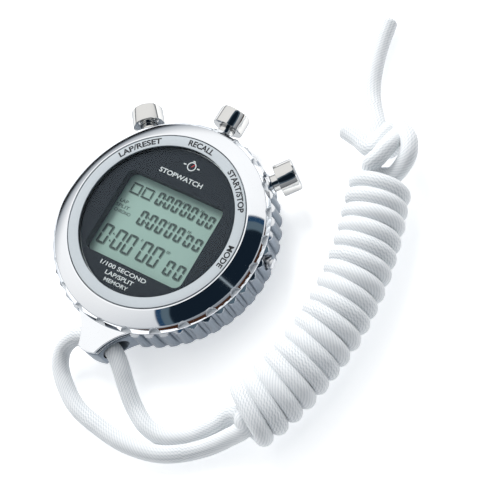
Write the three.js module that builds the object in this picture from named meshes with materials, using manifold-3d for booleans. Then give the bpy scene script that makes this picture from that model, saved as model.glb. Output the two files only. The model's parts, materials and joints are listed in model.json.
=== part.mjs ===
// Digital sports stopwatch in a round metal case, with its braided neck cord wound on itself.
// Millimetres. The watch lies on its back: +Z is out of the face, +Y is twelve o'clock, and the
// origin is the middle of the back cover, on the surface that the watch and its cord lie on.
// Clock angles are in degrees, clockwise from twelve o'clock as the face is read.

import * as THREE from 'three';
import { mergeVertices } from 'three/addons/utils/BufferGeometryUtils.js';
import Module from 'manifold-3d';

const wasm = await Module();
wasm.setup();

// Case
const FACE_Z = 17.6; // height of the label ring's top face over the back
const CASE_RADIUS = 31.5; // over the tips of the lobes
const GROOVE_DEPTH = 0.7;
const LOBES = 48;
const GROOVE_WIDTH = 0.95;
const LOBE_STEPS = 3;
const RING_BOTTOM_Z = 5.1; // lower edge of the lobed ring, over the sloped underside
const FOOT_Z = 0.6; // underside of the lower case over the surface
const FOOT_WIDTH = 0.9; // flat foot round the back cover
const FLOOR_RUN = 0.6; // flat floor inside, past the foot, before it rises with the underside
const LOBE_CHAMFER = 0.65;
const FLANGE_DROP = 3.7; // flange top below the face
const FLANGE_THICKNESS = 0.4;
const BEZEL_DROP = 2.3; // foot of the cone below the face
const BEZEL_INSET = 1.5; // foot of the cone inside the lobe tips
const LIP_WIDTH = 0.65; // bright lip round the label ring
const LIP_FALL = 0.1; // of the lip towards the label ring
const SCOOPS = 24;
const SCOOP_RADIUS = 1.8;
const SCOOP_BITE = 1.7; // how far a scoop reaches inside the lobe tips
const WALL = 2.7; // side wall of the lower case
const SPIGOT_WALL = 1.2;
const SPIGOT_DEPTH = 1.6;
const GAP = 0.3; // between pieces that are stacked or let into each other
const JOINED = 0.1; // how far two bodies of one piece run into each other
const PAST = 1; // how far a cutter runs past what it cuts
const CASE_STEPS = 48;

// Back
const COVER_RADIUS = 27.0;
const COVER_THICKNESS = 1.5;
const COVER_EDGE = 0.5; // bevel of the cover's outer edge
const GASKET_THICKNESS = 0.3;
const LEDGE_WIDTH = 4.7; // ledge that the back cover closes on
const LEDGE_THICKNESS = 1.5;
const GASKET_INSET = 3.1; // outer edge of the gasket inside the cover's
const SCREW_RING_INSET = 1.8;
const SCREW_SLOT = { width: 0.35, depth: 0.35 };
const BACK_SCREW = { head: 1.5, headHeight: 0.7, shank: 0.8, length: 4.0 };
const BACK_SCREW_CLOCKS = [45, 135, 225, 315];

// Face
const FACE_RADIUS = 21.9; // visible radius of the lens
const LABEL_WIDTH = 3.1;
const LABEL_THICKNESS = 0.5;
const LENS_THICKNESS = 1.6;
const LENS_RIM = 1.5; // hidden step of the lens under the label ring
const LENS_RIM_THICKNESS = 0.6;
const LENS_PROUD = 0.3;
const LENS_BEVEL = 0.3;
const SEAL_THICKNESS = 0.5;
const SEAT_THICKNESS = 0.7;
const MASK_THICKNESS = 0.3;
const WINDOW = {
  side: 6.05, // from the edge of the face to the window, at its sides
  end: 9.45, // and at its ends, before it is moved by y
  y: -1.85,
  corner: 2.2,
  wall: 0.6,
  depth: 2.7,
};
const LCD = { sideLap: 1.45, endLap: 1.65, thickness: 2.0 }; // laps under the window's edges

// Module
const FRAME_THICKNESS = 1.0;
const FRAME_DROP = 0.3;
const RAIL = { width: 0.8, length: 14, height: 2.1 };
const BOARD_THICKNESS = 1.0;
const BOARD_DROP = 1.0; // air between the frame plate and the board
const ZEBRA = { length: 22, width: 1.8 };
const ZEBRA_INSET = 1.3; // from the LCD's edge to the middle of the strip
const SLOT_CLEARANCE = 0.3;
const BOARD_SCREW = { head: 1.8, headHeight: 0.7, shank: 0.8, ring: 17.5 };
const BOARD_SCREW_CLOCKS = [20, 125, 300];
const CELL = { radius: 10, thickness: 3.2, x: -5.5, y: -1.0 };
const CLIP = { width: 7, thickness: 0.3 };
const CHIP = { radius: 4.2, height: 1.3, x: 9.8, y: -4.5 };
const CRYSTAL = { radius: 1.0, length: 6.0, x: 10.5, y: 6.5 };
const BUZZER = { radius: 10, thickness: 0.4 };

// Push buttons
const BORE_COVER = 0.4; // metal of the lobed ring over a button's bore
const BUTTON_CLOCKS = { start_stop: 40.4, recall: 0, lap_reset: -40.4 };
const BUTTON = {
  travel: 1.2,
  stem: 2.3, // radius of the bright stem
  rod: 1.1, // radius of the thin inner rod
  bushWall: 0.6,
  bushProud: 0.3,
  bushLength: 6.4,
  endWall: 0.8,
  seal: 0.65,
  spring: 3.2, // room for the spring in the bush
  wire: 0.16, // radius of its wire
  turns: 4,
};
const CAP = { radius: 4.45, length: 5.3, edge: 0.9, foot: 0.2, stand: 2.1, depth: 3.0 };
const MODE_CLOCK = 82.5;
const MODE = {
  travel: 0.8,
  stem: 1.45,
  rod: 0.7,
  bushWall: 0.5,
  bushProud: -0.9,
  bushLength: 4.7,
  endWall: 0.6,
  seal: 0.45,
  spring: 2.1,
  wire: 0.1,
  turns: 4,
  reach: 2.4, // of the pin out of its bush
  neck: { depth: 0.25, width: 0.35, fromEnd: 0.9 }, // groove near the pin's end
  bevel: 0.25,
};
const RUNNING = 0.1; // radial clearance of a sliding piece
const CLIP_THICKNESS = 0.5;
const CLIP_BITE = 0.25; // depth of the groove that the clip sits in
const CLIP_OPENING = 50; // degrees
const ROD_TO_CONTACT = 1.0;
const CONTACT = { width: 3.0, thickness: 0.3, foot: 2.6, height: 1.9, fromBoard: 0.7 };

// Lug
const LUG = {
  reach: 7.4, // past the tips of the lobes
  root: 9.5, // half width inside the case
  waist: 4.2, // half width that the hollow sides draw in to
  hollow: 4.2, // from the root to the waist
  tip: 2.7, // half width of the polished plate at its end
  body: 3.4, // half width of the satin body at its end
  widen: 0.6, // of the body past the plate
  bow: 0.6, // of the rounded end
  inset: 2.2, // of the root inside the grooves
  plate: 0.9, // thickness of the plate
  drop: 12.4, // underside below the face
};
const TUNNEL = { radius: 3.3, reach: 2.8, drop: 0.8 }; // past the lobes, below the buttons' axis

// Cord
const CORD_RADIUS = 2.4;
const WRAP_HALF_WIDTH = 8.6;
const WRAP_HALF_HEIGHT = 7.3;
const STRANDS = [
  [42.1, -34.35, 4.8], [38.6, -38.7, 3.0], [34.0, -44.2, 2.46], [27.7, -47.8, 2.46], [21.8, -47.8, 2.46],
  [15.6, -44.9, 2.8], [11.0, -40.9, 4.8], [7.8, -37.3, 7.2], [4.4, -34.8, 8.7], [0, -34.2, 8.9],
  [-4.4, -34.6, 8.8], [-8.2, -36.6, 7.8], [-10.4, -40.4, 5.8], [-9.2, -44.6, 4.2], [-4.8, -48.9, 3.0],
  [1.0, -52.0, 2.46], [8.9, -53.6, 2.46], [17.8, -54.3, 2.46], [26.7, -52.9, 2.46], [32.4, -50.3, 2.46],
  [38.9, -45.3, 2.8], [43.6, -40.6, 4.4], [46.95, -36.8, 6.5],
];
const WRAP_AXIS = [
  [46.0, -34.9], [48.2, -30.3], [50.0, -25.7], [51.8, -19.5], [53.0, -12.8], [54.1, -4.6], [54.0, 4.0],
  [53.4, 11.3], [52.0, 18.3], [50.7, 23.9], [48.9, 29.4], [47.6, 33.5], [46.2, 38.5],
];
const LONG_TAIL = [
  [22.8, 83.8, 2.46], [23.9, 77.0, 2.46], [25.7, 70.1, 2.46], [28.0, 63.9, 2.46], [30.5, 59.5, 3.0],
  [37.3, 53.4, 5.4],
];
const SHORT_TAIL = [[28.5, 47.8, 5.0], [31.5, 47.5, 5.5], [34.6, 47.6, 6.0]];
const KNOT = { x: 43.3, y: 47.25, z: 7.4, halfX: 8.6, halfY: 9.0, halfZ: 7.2, turn: -12 };
const CORD_SIDES = 9;
const CORD_STEP = 4; // between the tubes' rings

// Heights worked out from the sizes above
const FLANGE_Z = FACE_Z - FLANGE_DROP;
const RING_TOP_Z = FLANGE_Z - FLANGE_THICKNESS - GAP;
const LENS_TOP_Z = FACE_Z + LENS_PROUD;
const LENS_BOTTOM_Z = LENS_TOP_Z - LENS_THICKNESS;
const SEAT_Z = LENS_BOTTOM_Z - SEAL_THICKNESS - 2 * RUNNING;
const MASK_Z = LENS_BOTTOM_Z - RUNNING;
const WINDOW_WIDTH = 2 * (FACE_RADIUS - WINDOW.side);
const WINDOW_HEIGHT = 2 * (FACE_RADIUS - WINDOW.end);
const LCD_WIDTH = WINDOW_WIDTH + 2 * LCD.sideLap;
const LCD_HEIGHT = WINDOW_HEIGHT + 2 * LCD.endLap;
const LCD_TOP_Z = MASK_Z - MASK_THICKNESS - WINDOW.depth;
const FRAME_Z = LCD_TOP_Z - LCD.thickness - FRAME_DROP;
const BOARD_Z = FRAME_Z - FRAME_THICKNESS - BOARD_DROP;
const bushRadius = (spec) => spec.stem + RUNNING + spec.bushWall;
const BUTTON_Z = RING_TOP_Z - BORE_COVER - bushRadius(BUTTON) - RUNNING;
const TUNNEL_Z = BUTTON_Z - TUNNEL.drop;
const PLATE_TOP_Z = FLANGE_Z - FLANGE_THICKNESS + JOINED;
const PLATE_BOTTOM_Z = PLATE_TOP_Z - LUG.plate;
const LUG_BOTTOM_Z = FACE_Z - LUG.drop;
const LEDGE_Z = COVER_THICKNESS + GASKET_THICKNESS + RUNNING;

// Radii worked out from the sizes above
const GROOVE_RADIUS = CASE_RADIUS - GROOVE_DEPTH;
const CAVITY_RADIUS = CASE_RADIUS - WALL;
const SPIGOT_RADIUS = CAVITY_RADIUS - GAP;
const LABEL_RADIUS = FACE_RADIUS + RUNNING + LABEL_WIDTH;
const LIP_RADIUS = LABEL_RADIUS + RUNNING;
const LEDGE_RADIUS = COVER_RADIUS - LEDGE_WIDTH + GAP;
const LUG_END = CASE_RADIUS + LUG.reach;
const bushEnd = (spec) => CASE_RADIUS + spec.bushProud - spec.bushLength;
const CONTACT_RADIUS = bushEnd(BUTTON) - CLIP_THICKNESS - 2 * GAP - ROD_TO_CONTACT - BUTTON.travel;
const BOARD_RADIUS = CONTACT_RADIUS - CONTACT.thickness - CONTACT.fromBoard;

const material = (color, roughness, metalness = 0) =>
  new THREE.MeshStandardMaterial({ color, roughness, metalness });
const CHROME = material(0xd9dde2, 0.08, 1);
const SATIN = material(0x8f99a6, 0.38, 1);
const STEEL = material(0xb4b6ba, 0.3, 1);
const BRASS = material(0xb9964e, 0.35, 1);
const RUBBER = material(0x17181a, 0.8);
const BLACK = material(0x1b1e24, 0.45);
const SILVER = material(0xc9d2d8, 0.45, 0.6);
const CLEAR = new THREE.MeshStandardMaterial({
  color: 0xe8eef0, roughness: 0.05, transparent: true, opacity: 0.3 });
const LCD_GREEN = material(0x9fbcae, 0.25);
const ELASTOMER = material(0x9a8f86, 0.7);
const WHITE_PLASTIC = material(0xd5d3cc, 0.5);
const BOARD_GREEN = material(0x1f5a3a, 0.5);
const CORD_WHITE = material(0xeef0ef, 0.85);

const radians = THREE.MathUtils.degToRad;
const watch = new THREE.Group();

// A closed triangle mesh with shared vertices, no empty triangles and its faces pointing out.
function closed(geometry) {
  const bare = geometry.index ? geometry.clone() : mergeVertices(geometry);
  bare.deleteAttribute('normal');
  bare.deleteAttribute('uv');
  const merged = mergeVertices(bare, 1e-4);
  const position = merged.attributes.position;
  const corner = [new THREE.Vector3(), new THREE.Vector3(), new THREE.Vector3()];
  const kept = [];
  let volume = 0;
  for (let i = 0; i < merged.index.count; i += 3) {
    const [a, b, c] = [0, 1, 2].map((k) => merged.index.getX(i + k));
    if (a === b || b === c || c === a) continue;
    kept.push(a, b, c);
    [a, b, c].forEach((at, k) => corner[k].fromBufferAttribute(position, at));
    volume += corner[0].dot(corner[1].cross(corner[2]));
  }
  if (volume < 0) kept.reverse();
  merged.setIndex(kept);
  return merged;
}

function solid(geometry) {
  const shape = closed(geometry);
  return new wasm.Manifold(new wasm.Mesh({
    numProp: 3,
    vertProperties: new Float32Array(shape.attributes.position.array),
    triVerts: new Uint32Array(shape.index.array),
  }));
}

function fromSolid(body) {
  const { vertProperties, triVerts } = body.getMesh();
  const geometry = new THREE.BufferGeometry();
  geometry.setAttribute('position', new THREE.BufferAttribute(new Float32Array(vertProperties), 3));
  geometry.setIndex(new THREE.BufferAttribute(new Uint32Array(triVerts), 1));
  return geometry;
}

function place(name, geometry, finish, parent = watch) {
  const mesh = new THREE.Mesh(geometry, finish);
  mesh.name = name;
  parent.add(mesh);
  return mesh;
}

// Turned piece about Z from a closed list of [radius, height] corners.
function turned(profile, steps = 16) {
  const points = [...profile, profile[0]].map(([r, z]) => new THREE.Vector2(r, z));
  return closed(new THREE.LatheGeometry(points, steps).rotateX(Math.PI / 2));
}

const rod = (radius, bottom, top, steps = 16) =>
  turned([[0, bottom], [radius, bottom], [radius, top], [0, top]], steps);

const ring = (inner, outer, bottom, top, steps = 48) =>
  turned([[inner, bottom], [outer, bottom], [outer, top], [inner, top]], steps);

// Piece of constant outline between two heights.
function slab(shape, bottom, top, curveSegments = 6) {
  const options = { depth: top - bottom, bevelEnabled: false, curveSegments };
  return closed(new THREE.ExtrudeGeometry(shape, options).translate(0, 0, bottom));
}

function block(width, length, bottom, top, x = 0, y = 0) {
  return new THREE.BoxGeometry(width, length, top - bottom).translate(x, y, (top + bottom) / 2);
}

function roundedRectangle(width, height, corner, y) {
  const [w, h] = [width / 2 - corner, height / 2 - corner];
  const shape = new THREE.Shape();
  shape.absarc(w, y + h, corner, 0, Math.PI / 2);
  shape.absarc(-w, y + h, corner, Math.PI / 2, Math.PI);
  shape.absarc(-w, y - h, corner, Math.PI, 1.5 * Math.PI);
  shape.absarc(w, y - h, corner, 1.5 * Math.PI, 2 * Math.PI);
  return shape;
}

// Point on a clock angle at a radius.
function onClock(clock, radius) {
  const angle = radians(clock);
  return [radius * Math.sin(angle), radius * Math.cos(angle)];
}

// A piece turned about Z, laid along the outward direction of a clock angle at a height.
function radial(geometry, clock, z) {
  return geometry.rotateX(-Math.PI / 2).translate(0, 0, z).rotateZ(-radians(clock));
}

function roundSection(radius, sides) {
  const corners = Array.from({ length: sides }, (_, i) => {
    const angle = (2 * Math.PI * i) / sides;
    return new THREE.Vector2(radius * Math.cos(angle), radius * Math.sin(angle));
  });
  return new THREE.Shape(corners);
}

function along(path, section, steps) {
  return closed(new THREE.ExtrudeGeometry(section, { steps, extrudePath: path, bevelEnabled: false }));
}

class Coil extends THREE.Curve {
  constructor(radius, bottom, top, turns) {
    super();
    Object.assign(this, { radius, bottom, top, turns });
  }

  getPoint(t) {
    const angle = 2 * Math.PI * this.turns * t;
    const z = this.bottom + (this.top - this.bottom) * t;
    return new THREE.Vector3(this.radius * Math.cos(angle), this.radius * Math.sin(angle), z);
  }
}

// Outline of the lobed ring: round lobes with narrow flat-bottomed grooves between them.
function lobedOutline() {
  const pitch = (2 * Math.PI) / LOBES;
  const halfGroove = GROOVE_WIDTH / 2 / GROOVE_RADIUS;
  const points = [];
  for (let lobe = 0; lobe < LOBES; lobe += 1) {
    for (let step = 0; step <= LOBE_STEPS; step += 1) {
      const share = step / LOBE_STEPS;
      const angle = lobe * pitch + halfGroove + share * (pitch - 2 * halfGroove);
      const radius = GROOVE_RADIUS + GROOVE_DEPTH * Math.sin(Math.PI * share);
      points.push(new THREE.Vector2(radius * Math.cos(angle), radius * Math.sin(angle)));
    }
  }
  return new THREE.Shape(points);
}

// Outline of the lug with hollow sides, from inside the case to its end.
function lugOutline(tip, widen) {
  const root = LUG.inset - GROOVE_RADIUS;
  const end = LUG.bow - LUG_END;
  const shape = new THREE.Shape();
  shape.moveTo(-LUG.root - widen, root);
  shape.quadraticCurveTo(-LUG.waist - widen, root - LUG.hollow, -tip, end);
  shape.quadraticCurveTo(0, -LUG_END - LUG.bow, tip, end);
  shape.quadraticCurveTo(LUG.waist + widen, root - LUG.hollow, LUG.root + widen, root);
  return shape;
}

const allButtons = [
  ...Object.entries(BUTTON_CLOCKS).map(([name, clock]) => ({ name, clock, spec: BUTTON })),
  { name: 'mode', clock: MODE_CLOCK, spec: MODE },
];

// Polished upper shell: bright lip, cone, scooped step, thin flange and a spigot for the lower case.
function upperCase() {
  const foot = CASE_RADIUS - BEZEL_INSET;
  const flange = GROOVE_RADIUS;
  const flangeBottom = FLANGE_Z - FLANGE_THICKNESS;
  let body = solid(turned([
    [LIP_RADIUS, FACE_Z - LIP_FALL], [LIP_RADIUS + LIP_WIDTH, FACE_Z], [foot, FACE_Z - BEZEL_DROP],
    [flange, FLANGE_Z], [flange, flangeBottom], [SPIGOT_RADIUS, flangeBottom],
    [SPIGOT_RADIUS, flangeBottom - SPIGOT_DEPTH],
    [SPIGOT_RADIUS - SPIGOT_WALL, flangeBottom - SPIGOT_DEPTH],
    [SPIGOT_RADIUS - SPIGOT_WALL, FLANGE_Z], [LIP_RADIUS, SEAT_Z - SEAT_THICKNESS],
    [FACE_RADIUS, SEAT_Z - SEAT_THICKNESS], [FACE_RADIUS, SEAT_Z], [LIP_RADIUS, SEAT_Z],
  ], CASE_STEPS));
  for (let i = 0; i < SCOOPS; i += 1) {
    const [x, y] = onClock((360 / SCOOPS) * i, CASE_RADIUS - SCOOP_BITE + SCOOP_RADIUS);
    const cutter = rod(SCOOP_RADIUS, FLANGE_Z, FACE_Z, 12).translate(x, y, 0);
    body = body.subtract(solid(cutter));
  }
  for (const { clock, spec } of allButtons) {
    const notch = rod(bushRadius(spec) + GAP, SPIGOT_RADIUS - 2 * SPIGOT_WALL, SPIGOT_RADIUS + PAST);
    body = body.subtract(solid(radial(notch, clock, BUTTON_Z)));
  }
  body = body.add(solid(slab(lugOutline(LUG.tip, 0), PLATE_BOTTOM_Z, PLATE_TOP_Z)));
  const inside = rod(SPIGOT_RADIUS - SPIGOT_WALL / 2, PLATE_BOTTOM_Z - PAST, flangeBottom);
  return fromSolid(body.subtract(solid(inside)));
}

// Inside of the lower case: a flat floor, which rises with the underside when that reaches past it.
function cavity(foot, outside) {
  const floor = LEDGE_Z + LEDGE_THICKNESS;
  const flat = foot + FLOOR_RUN;
  const slope = (RING_BOTTOM_Z - FOOT_Z) / (outside - foot);
  const run = CAVITY_RADIUS - flat;
  const rising = run > RUNNING ? [[flat, floor], [CAVITY_RADIUS, floor + run * slope]]
    : [[CAVITY_RADIUS, floor]];
  return turned([[0, floor], ...rising, [CAVITY_RADIUS, FACE_Z], [0, FACE_Z]], CASE_STEPS);
}

// Satin lower shell: lobed ring, sloped underside, cavity, ledge for the back cover and the lug.
function lowerCase() {
  const recess = COVER_RADIUS + GAP;
  const foot = recess + FOOT_WIDTH;
  const outside = CASE_RADIUS + JOINED;
  let body = solid(slab(lobedOutline(), FOOT_Z, RING_TOP_Z));
  body = body.intersect(solid(turned([
    [0, FOOT_Z], [foot, FOOT_Z], [outside, RING_BOTTOM_Z],
    [outside, RING_TOP_Z - LOBE_CHAMFER], [GROOVE_RADIUS - JOINED, RING_TOP_Z], [0, RING_TOP_Z],
  ], CASE_STEPS)));
  const lugTop = PLATE_BOTTOM_Z - GAP;
  body = body.add(solid(slab(lugOutline(LUG.body, LUG.widen), LUG_BOTTOM_Z, lugTop)));
  body = body.subtract(solid(slab(lugOutline(LUG.tip + GAP, GAP), lugTop, FACE_Z)));
  body = body.subtract(solid(cavity(foot, outside)));
  body = body.subtract(solid(rod(LEDGE_RADIUS, 0, FACE_Z, CASE_STEPS)));
  body = body.subtract(solid(rod(recess, 0, LEDGE_Z, CASE_STEPS)));
  for (const { clock, spec } of allButtons) {
    const bore = rod(bushRadius(spec) + RUNNING, CAVITY_RADIUS - PAST, CASE_RADIUS + PAST);
    body = body.subtract(solid(radial(bore, clock, BUTTON_Z)));
  }
  for (const clock of BACK_SCREW_CLOCKS) {
    const [x, y] = onClock(clock, COVER_RADIUS - SCREW_RING_INSET);
    body = body.subtract(solid(rod(BACK_SCREW.shank + RUNNING, 0, FACE_Z / 2, 12).translate(x, y, 0)));
  }
  const halfTunnel = LUG.root + LUG.widen + PAST;
  const tunnel = rod(TUNNEL.radius, -halfTunnel, halfTunnel, 20).rotateY(Math.PI / 2);
  return fromSolid(body.subtract(solid(
    tunnel.translate(0, -CASE_RADIUS - TUNNEL.reach, TUNNEL_Z))));
}

function backCover() {
  let body = solid(turned([
    [0, 0], [COVER_RADIUS - COVER_EDGE, 0], [COVER_RADIUS, COVER_EDGE], [COVER_RADIUS, COVER_THICKNESS],
    [0, COVER_THICKNESS],
  ], CASE_STEPS));
  const seat = COVER_THICKNESS - BACK_SCREW.headHeight;
  for (const clock of BACK_SCREW_CLOCKS) {
    const [x, y] = onClock(clock, COVER_RADIUS - SCREW_RING_INSET);
    const hole = solid(rod(BACK_SCREW.shank + RUNNING, -PAST, COVER_THICKNESS + PAST, 12));
    const counterbore = solid(rod(BACK_SCREW.head + RUNNING, -PAST, seat));
    body = body.subtract(hole.add(counterbore).translate([x, y, 0]));
  }
  return fromSolid(body);
}

// Slotted cheese-head screw on Z with its head down.
function screw({ head, headHeight, shank }, length) {
  const body = solid(turned([
    [0, 0], [head, 0], [head, headHeight], [shank, headHeight], [shank, headHeight + length],
    [0, headHeight + length],
  ], 12));
  const slot = block(2 * (head + PAST), SCREW_SLOT.width, -PAST, SCREW_SLOT.depth);
  return fromSolid(body.subtract(solid(slot)));
}

function lens() {
  const rim = LENS_BOTTOM_Z + LENS_RIM_THICKNESS;
  return turned([
    [0, LENS_BOTTOM_Z], [FACE_RADIUS + LENS_RIM, LENS_BOTTOM_Z], [FACE_RADIUS + LENS_RIM, rim],
    [FACE_RADIUS, rim], [FACE_RADIUS, LENS_TOP_Z - LENS_BEVEL], [FACE_RADIUS - LENS_BEVEL, LENS_TOP_Z],
    [0, LENS_TOP_Z],
  ], CASE_STEPS);
}

// Ring that carries the button labels; its foot rests on the seat round the lens rim.
function labelRing() {
  const inner = FACE_RADIUS + RUNNING;
  const foot = FACE_RADIUS + LENS_RIM + 2 * RUNNING;
  const bottom = FACE_Z - LABEL_THICKNESS;
  return turned([
    [inner, FACE_Z], [LABEL_RADIUS, FACE_Z], [LABEL_RADIUS, SEAT_Z + RUNNING], [foot, SEAT_Z + RUNNING],
    [foot, bottom], [inner, bottom],
  ], CASE_STEPS);
}

// Black face plate with the window, whose walls go down to the LCD.
function dialMask() {
  const { y, corner, wall } = WINDOW;
  const opening = roundedRectangle(WINDOW_WIDTH, WINDOW_HEIGHT, corner, y);
  const outside = roundedRectangle(WINDOW_WIDTH + 2 * wall, WINDOW_HEIGHT + 2 * wall,
    corner + wall, y);
  const plate = solid(rod(FACE_RADIUS - 2 * RUNNING, MASK_Z - MASK_THICKNESS, MASK_Z, CASE_STEPS));
  const well = solid(slab(outside, LCD_TOP_Z + GAP, MASK_Z));
  return fromSolid(plate.add(well).subtract(solid(slab(opening, LCD_TOP_Z - PAST, MASK_Z + PAST))));
}

const zebraRows = [
  WINDOW.y + LCD_HEIGHT / 2 - ZEBRA_INSET,
  WINDOW.y - LCD_HEIGHT / 2 + ZEBRA_INSET,
];

// Moulded frame under the LCD, with a rail on each side of it and slots for the zebra strips.
function moduleFrame() {
  const bottom = FRAME_Z - FRAME_THICKNESS;
  let body = solid(rod(BOARD_RADIUS, bottom, FRAME_Z, CASE_STEPS));
  for (const side of [-1, 1]) {
    const x = side * (LCD_WIDTH / 2 + GAP + RAIL.width / 2);
    const rail = block(RAIL.width, RAIL.length, FRAME_Z - JOINED, FRAME_Z + RAIL.height, x, WINDOW.y);
    body = body.add(solid(rail));
  }
  for (const y of zebraRows) {
    const [length, width] = [ZEBRA.length + 2 * SLOT_CLEARANCE, ZEBRA.width + 2 * SLOT_CLEARANCE];
    body = body.subtract(solid(block(length, width, bottom - PAST, FRAME_Z + PAST, 0, y)));
  }
  for (const clock of BOARD_SCREW_CLOCKS) {
    const [x, y] = onClock(clock, BOARD_SCREW.ring);
    const hole = rod(BOARD_SCREW.shank + RUNNING, bottom - PAST, FRAME_Z + PAST, 12);
    body = body.subtract(solid(hole.translate(x, y, 0)));
  }
  return fromSolid(body);
}

function circuitBoard() {
  let body = solid(rod(BOARD_RADIUS, BOARD_Z - BOARD_THICKNESS, BOARD_Z, CASE_STEPS));
  for (const clock of BOARD_SCREW_CLOCKS) {
    const [x, y] = onClock(clock, BOARD_SCREW.ring);
    const hole = rod(BOARD_SCREW.shank + RUNNING, 0, FACE_Z, 12);
    body = body.subtract(solid(hole.translate(x, y, 0)));
  }
  return fromSolid(body);
}

// Potted chip under the board: a low dome of epoxy.
function chipDome(top) {
  const { radius, height } = CHIP;
  const steps = 3;
  const profile = [[0, top]];
  for (let i = 0; i <= steps; i += 1) {
    const angle = (Math.PI / 2) * (i / steps);
    profile.push([radius * Math.cos(angle), top - height * Math.sin(angle)]);
  }
  return turned(profile);
}

// Spring-steel strap that holds the cell up against the board.
function batteryClip(cellBottom, boardBottom) {
  const reach = CELL.radius + GAP + CLIP.thickness;
  const bottom = cellBottom - GAP - CLIP.thickness;
  const strap = solid(block(2 * reach, CLIP.width, bottom, bottom + CLIP.thickness));
  const legs = [-1, 1].map((side) => {
    const x = side * (reach - CLIP.thickness / 2);
    return solid(block(CLIP.thickness, CLIP.width, bottom, boardBottom - RUNNING, x));
  });
  return fromSolid(strap.add(legs[0]).add(legs[1])).translate(CELL.x, CELL.y, 0);
}

// Everything of one push button except its cap, in a group whose +Z points out of the case.
function buttonInside(name, clock, spec, stemEnd, neck) {
  const group = new THREE.Group();
  group.position.z = BUTTON_Z;
  group.rotation.set(-Math.PI / 2, 0, -radians(clock), 'ZYX');
  watch.add(group);

  const inner = bushEnd(spec);
  const outer = inner + spec.bushLength;
  const bore = spec.stem + RUNNING;
  const rodBore = spec.rod + 2 * RUNNING;
  place(`${name}_bush`, turned([
    [rodBore, inner], [bushRadius(spec), inner], [bushRadius(spec), outer], [bore, outer],
    [bore, inner + spec.endWall], [rodBore, inner + spec.endWall],
  ]), BRASS, group);

  const sealSeat = spec.stem - spec.seal;
  const shoulder = inner + spec.endWall + spec.spring;
  const sealBottom = shoulder + spec.bushWall;
  const sealTop = sealBottom + spec.seal;
  const clipTop = inner - RUNNING;
  const clipBottom = clipTop - CLIP_THICKNESS;
  const clipSeat = spec.rod - CLIP_BITE;
  const rodTip = CONTACT_RADIUS + spec.travel + RUNNING / 2;
  const profile = [
    [0, rodTip], [spec.rod, rodTip], [spec.rod, clipBottom - RUNNING],
    [clipSeat, clipBottom - RUNNING], [clipSeat, inner], [spec.rod, inner], [spec.rod, shoulder],
    [spec.stem, shoulder], [spec.stem, sealBottom - RUNNING], [sealSeat, sealBottom - RUNNING],
    [sealSeat, sealTop + RUNNING], [spec.stem, sealTop + RUNNING],
  ];
  if (neck) {
    const top = stemEnd - neck.fromEnd;
    const bottom = top - neck.width;
    profile.push([spec.stem, bottom], [spec.stem - neck.depth, bottom]);
    profile.push([spec.stem - neck.depth, top], [spec.stem, top]);
    profile.push([spec.stem, stemEnd - spec.bevel], [spec.stem - spec.bevel, stemEnd], [0, stemEnd]);
  } else {
    profile.push([spec.stem, stemEnd], [0, stemEnd]);
  }
  place(neck ? `${name}_pin` : `${name}_stem`, turned(profile), neck ? STEEL : CHROME, group);

  const middle = (sealBottom + sealTop) / 2;
  const sealRadius = (spec.seal - RUNNING / 2) / 2;
  const around = sealSeat + RUNNING / 2 + sealRadius;
  const section = Array.from({ length: 6 }, (_, i) => {
    const angle = (2 * Math.PI * i) / 6;
    return [around + sealRadius * Math.cos(angle), middle + sealRadius * Math.sin(angle)];
  });
  place(`${name}_seal`, turned(section), RUBBER, group);

  const springRadius = (spec.rod + bore) / 2;
  const coil = new Coil(springRadius, inner + spec.endWall + spec.wire + RUNNING,
    shoulder - spec.wire - RUNNING, spec.turns);
  const springSteps = Math.round(spec.turns * 9);
  place(`${name}_spring`, along(coil, roundSection(spec.wire, 4), springSteps), STEEL, group);

  const clip = new THREE.Shape();
  const half = radians(CLIP_OPENING) / 2;
  clip.absarc(0, 0, bore, half, 2 * Math.PI - half, false);
  clip.absarc(0, 0, clipSeat + RUNNING, 2 * Math.PI - half, half, true);
  place(`${name}_clip`, slab(clip, clipBottom, clipTop, 8), STEEL, group);
}

// Plain round button cap, bored to take the end of the stem.
function cap(face) {
  const { radius, length, edge, foot, depth } = CAP;
  const bore = BUTTON.stem + RUNNING;
  const corner = [0, 1, 2, 3].map((i) => {
    const angle = (Math.PI / 2) * (i / 3);
    return [radius - edge + edge * Math.cos(angle), face + length - edge + edge * Math.sin(angle)];
  });
  return turned([
    [bore, face], [radius - foot, face], [radius, face + foot], ...corner, [0, face + length],
    [0, face + depth], [bore, face + depth],
  ]);
}

// Bent leaf on the board that a button's rod pushes on.
function contact(clock) {
  const bottom = BOARD_Z + RUNNING;
  const { width, thickness, foot, height } = CONTACT;
  const leaf = solid(block(width, thickness, bottom, bottom + height, 0,
    CONTACT_RADIUS - thickness / 2));
  const base = solid(block(width, foot, bottom, bottom + thickness, 0, CONTACT_RADIUS - foot / 2));
  return fromSolid(leaf.add(base)).rotateZ(-radians(clock));
}

const curve = (points) => new THREE.CatmullRomCurve3(points.map((p) => new THREE.Vector3(...p)));

function cordTube(name, points) {
  const path = curve(points);
  const steps = Math.ceil(path.getLength() / CORD_STEP);
  place(name, along(path, roundSection(CORD_RADIUS, CORD_SIDES), steps), CORD_WHITE);
}

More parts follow.
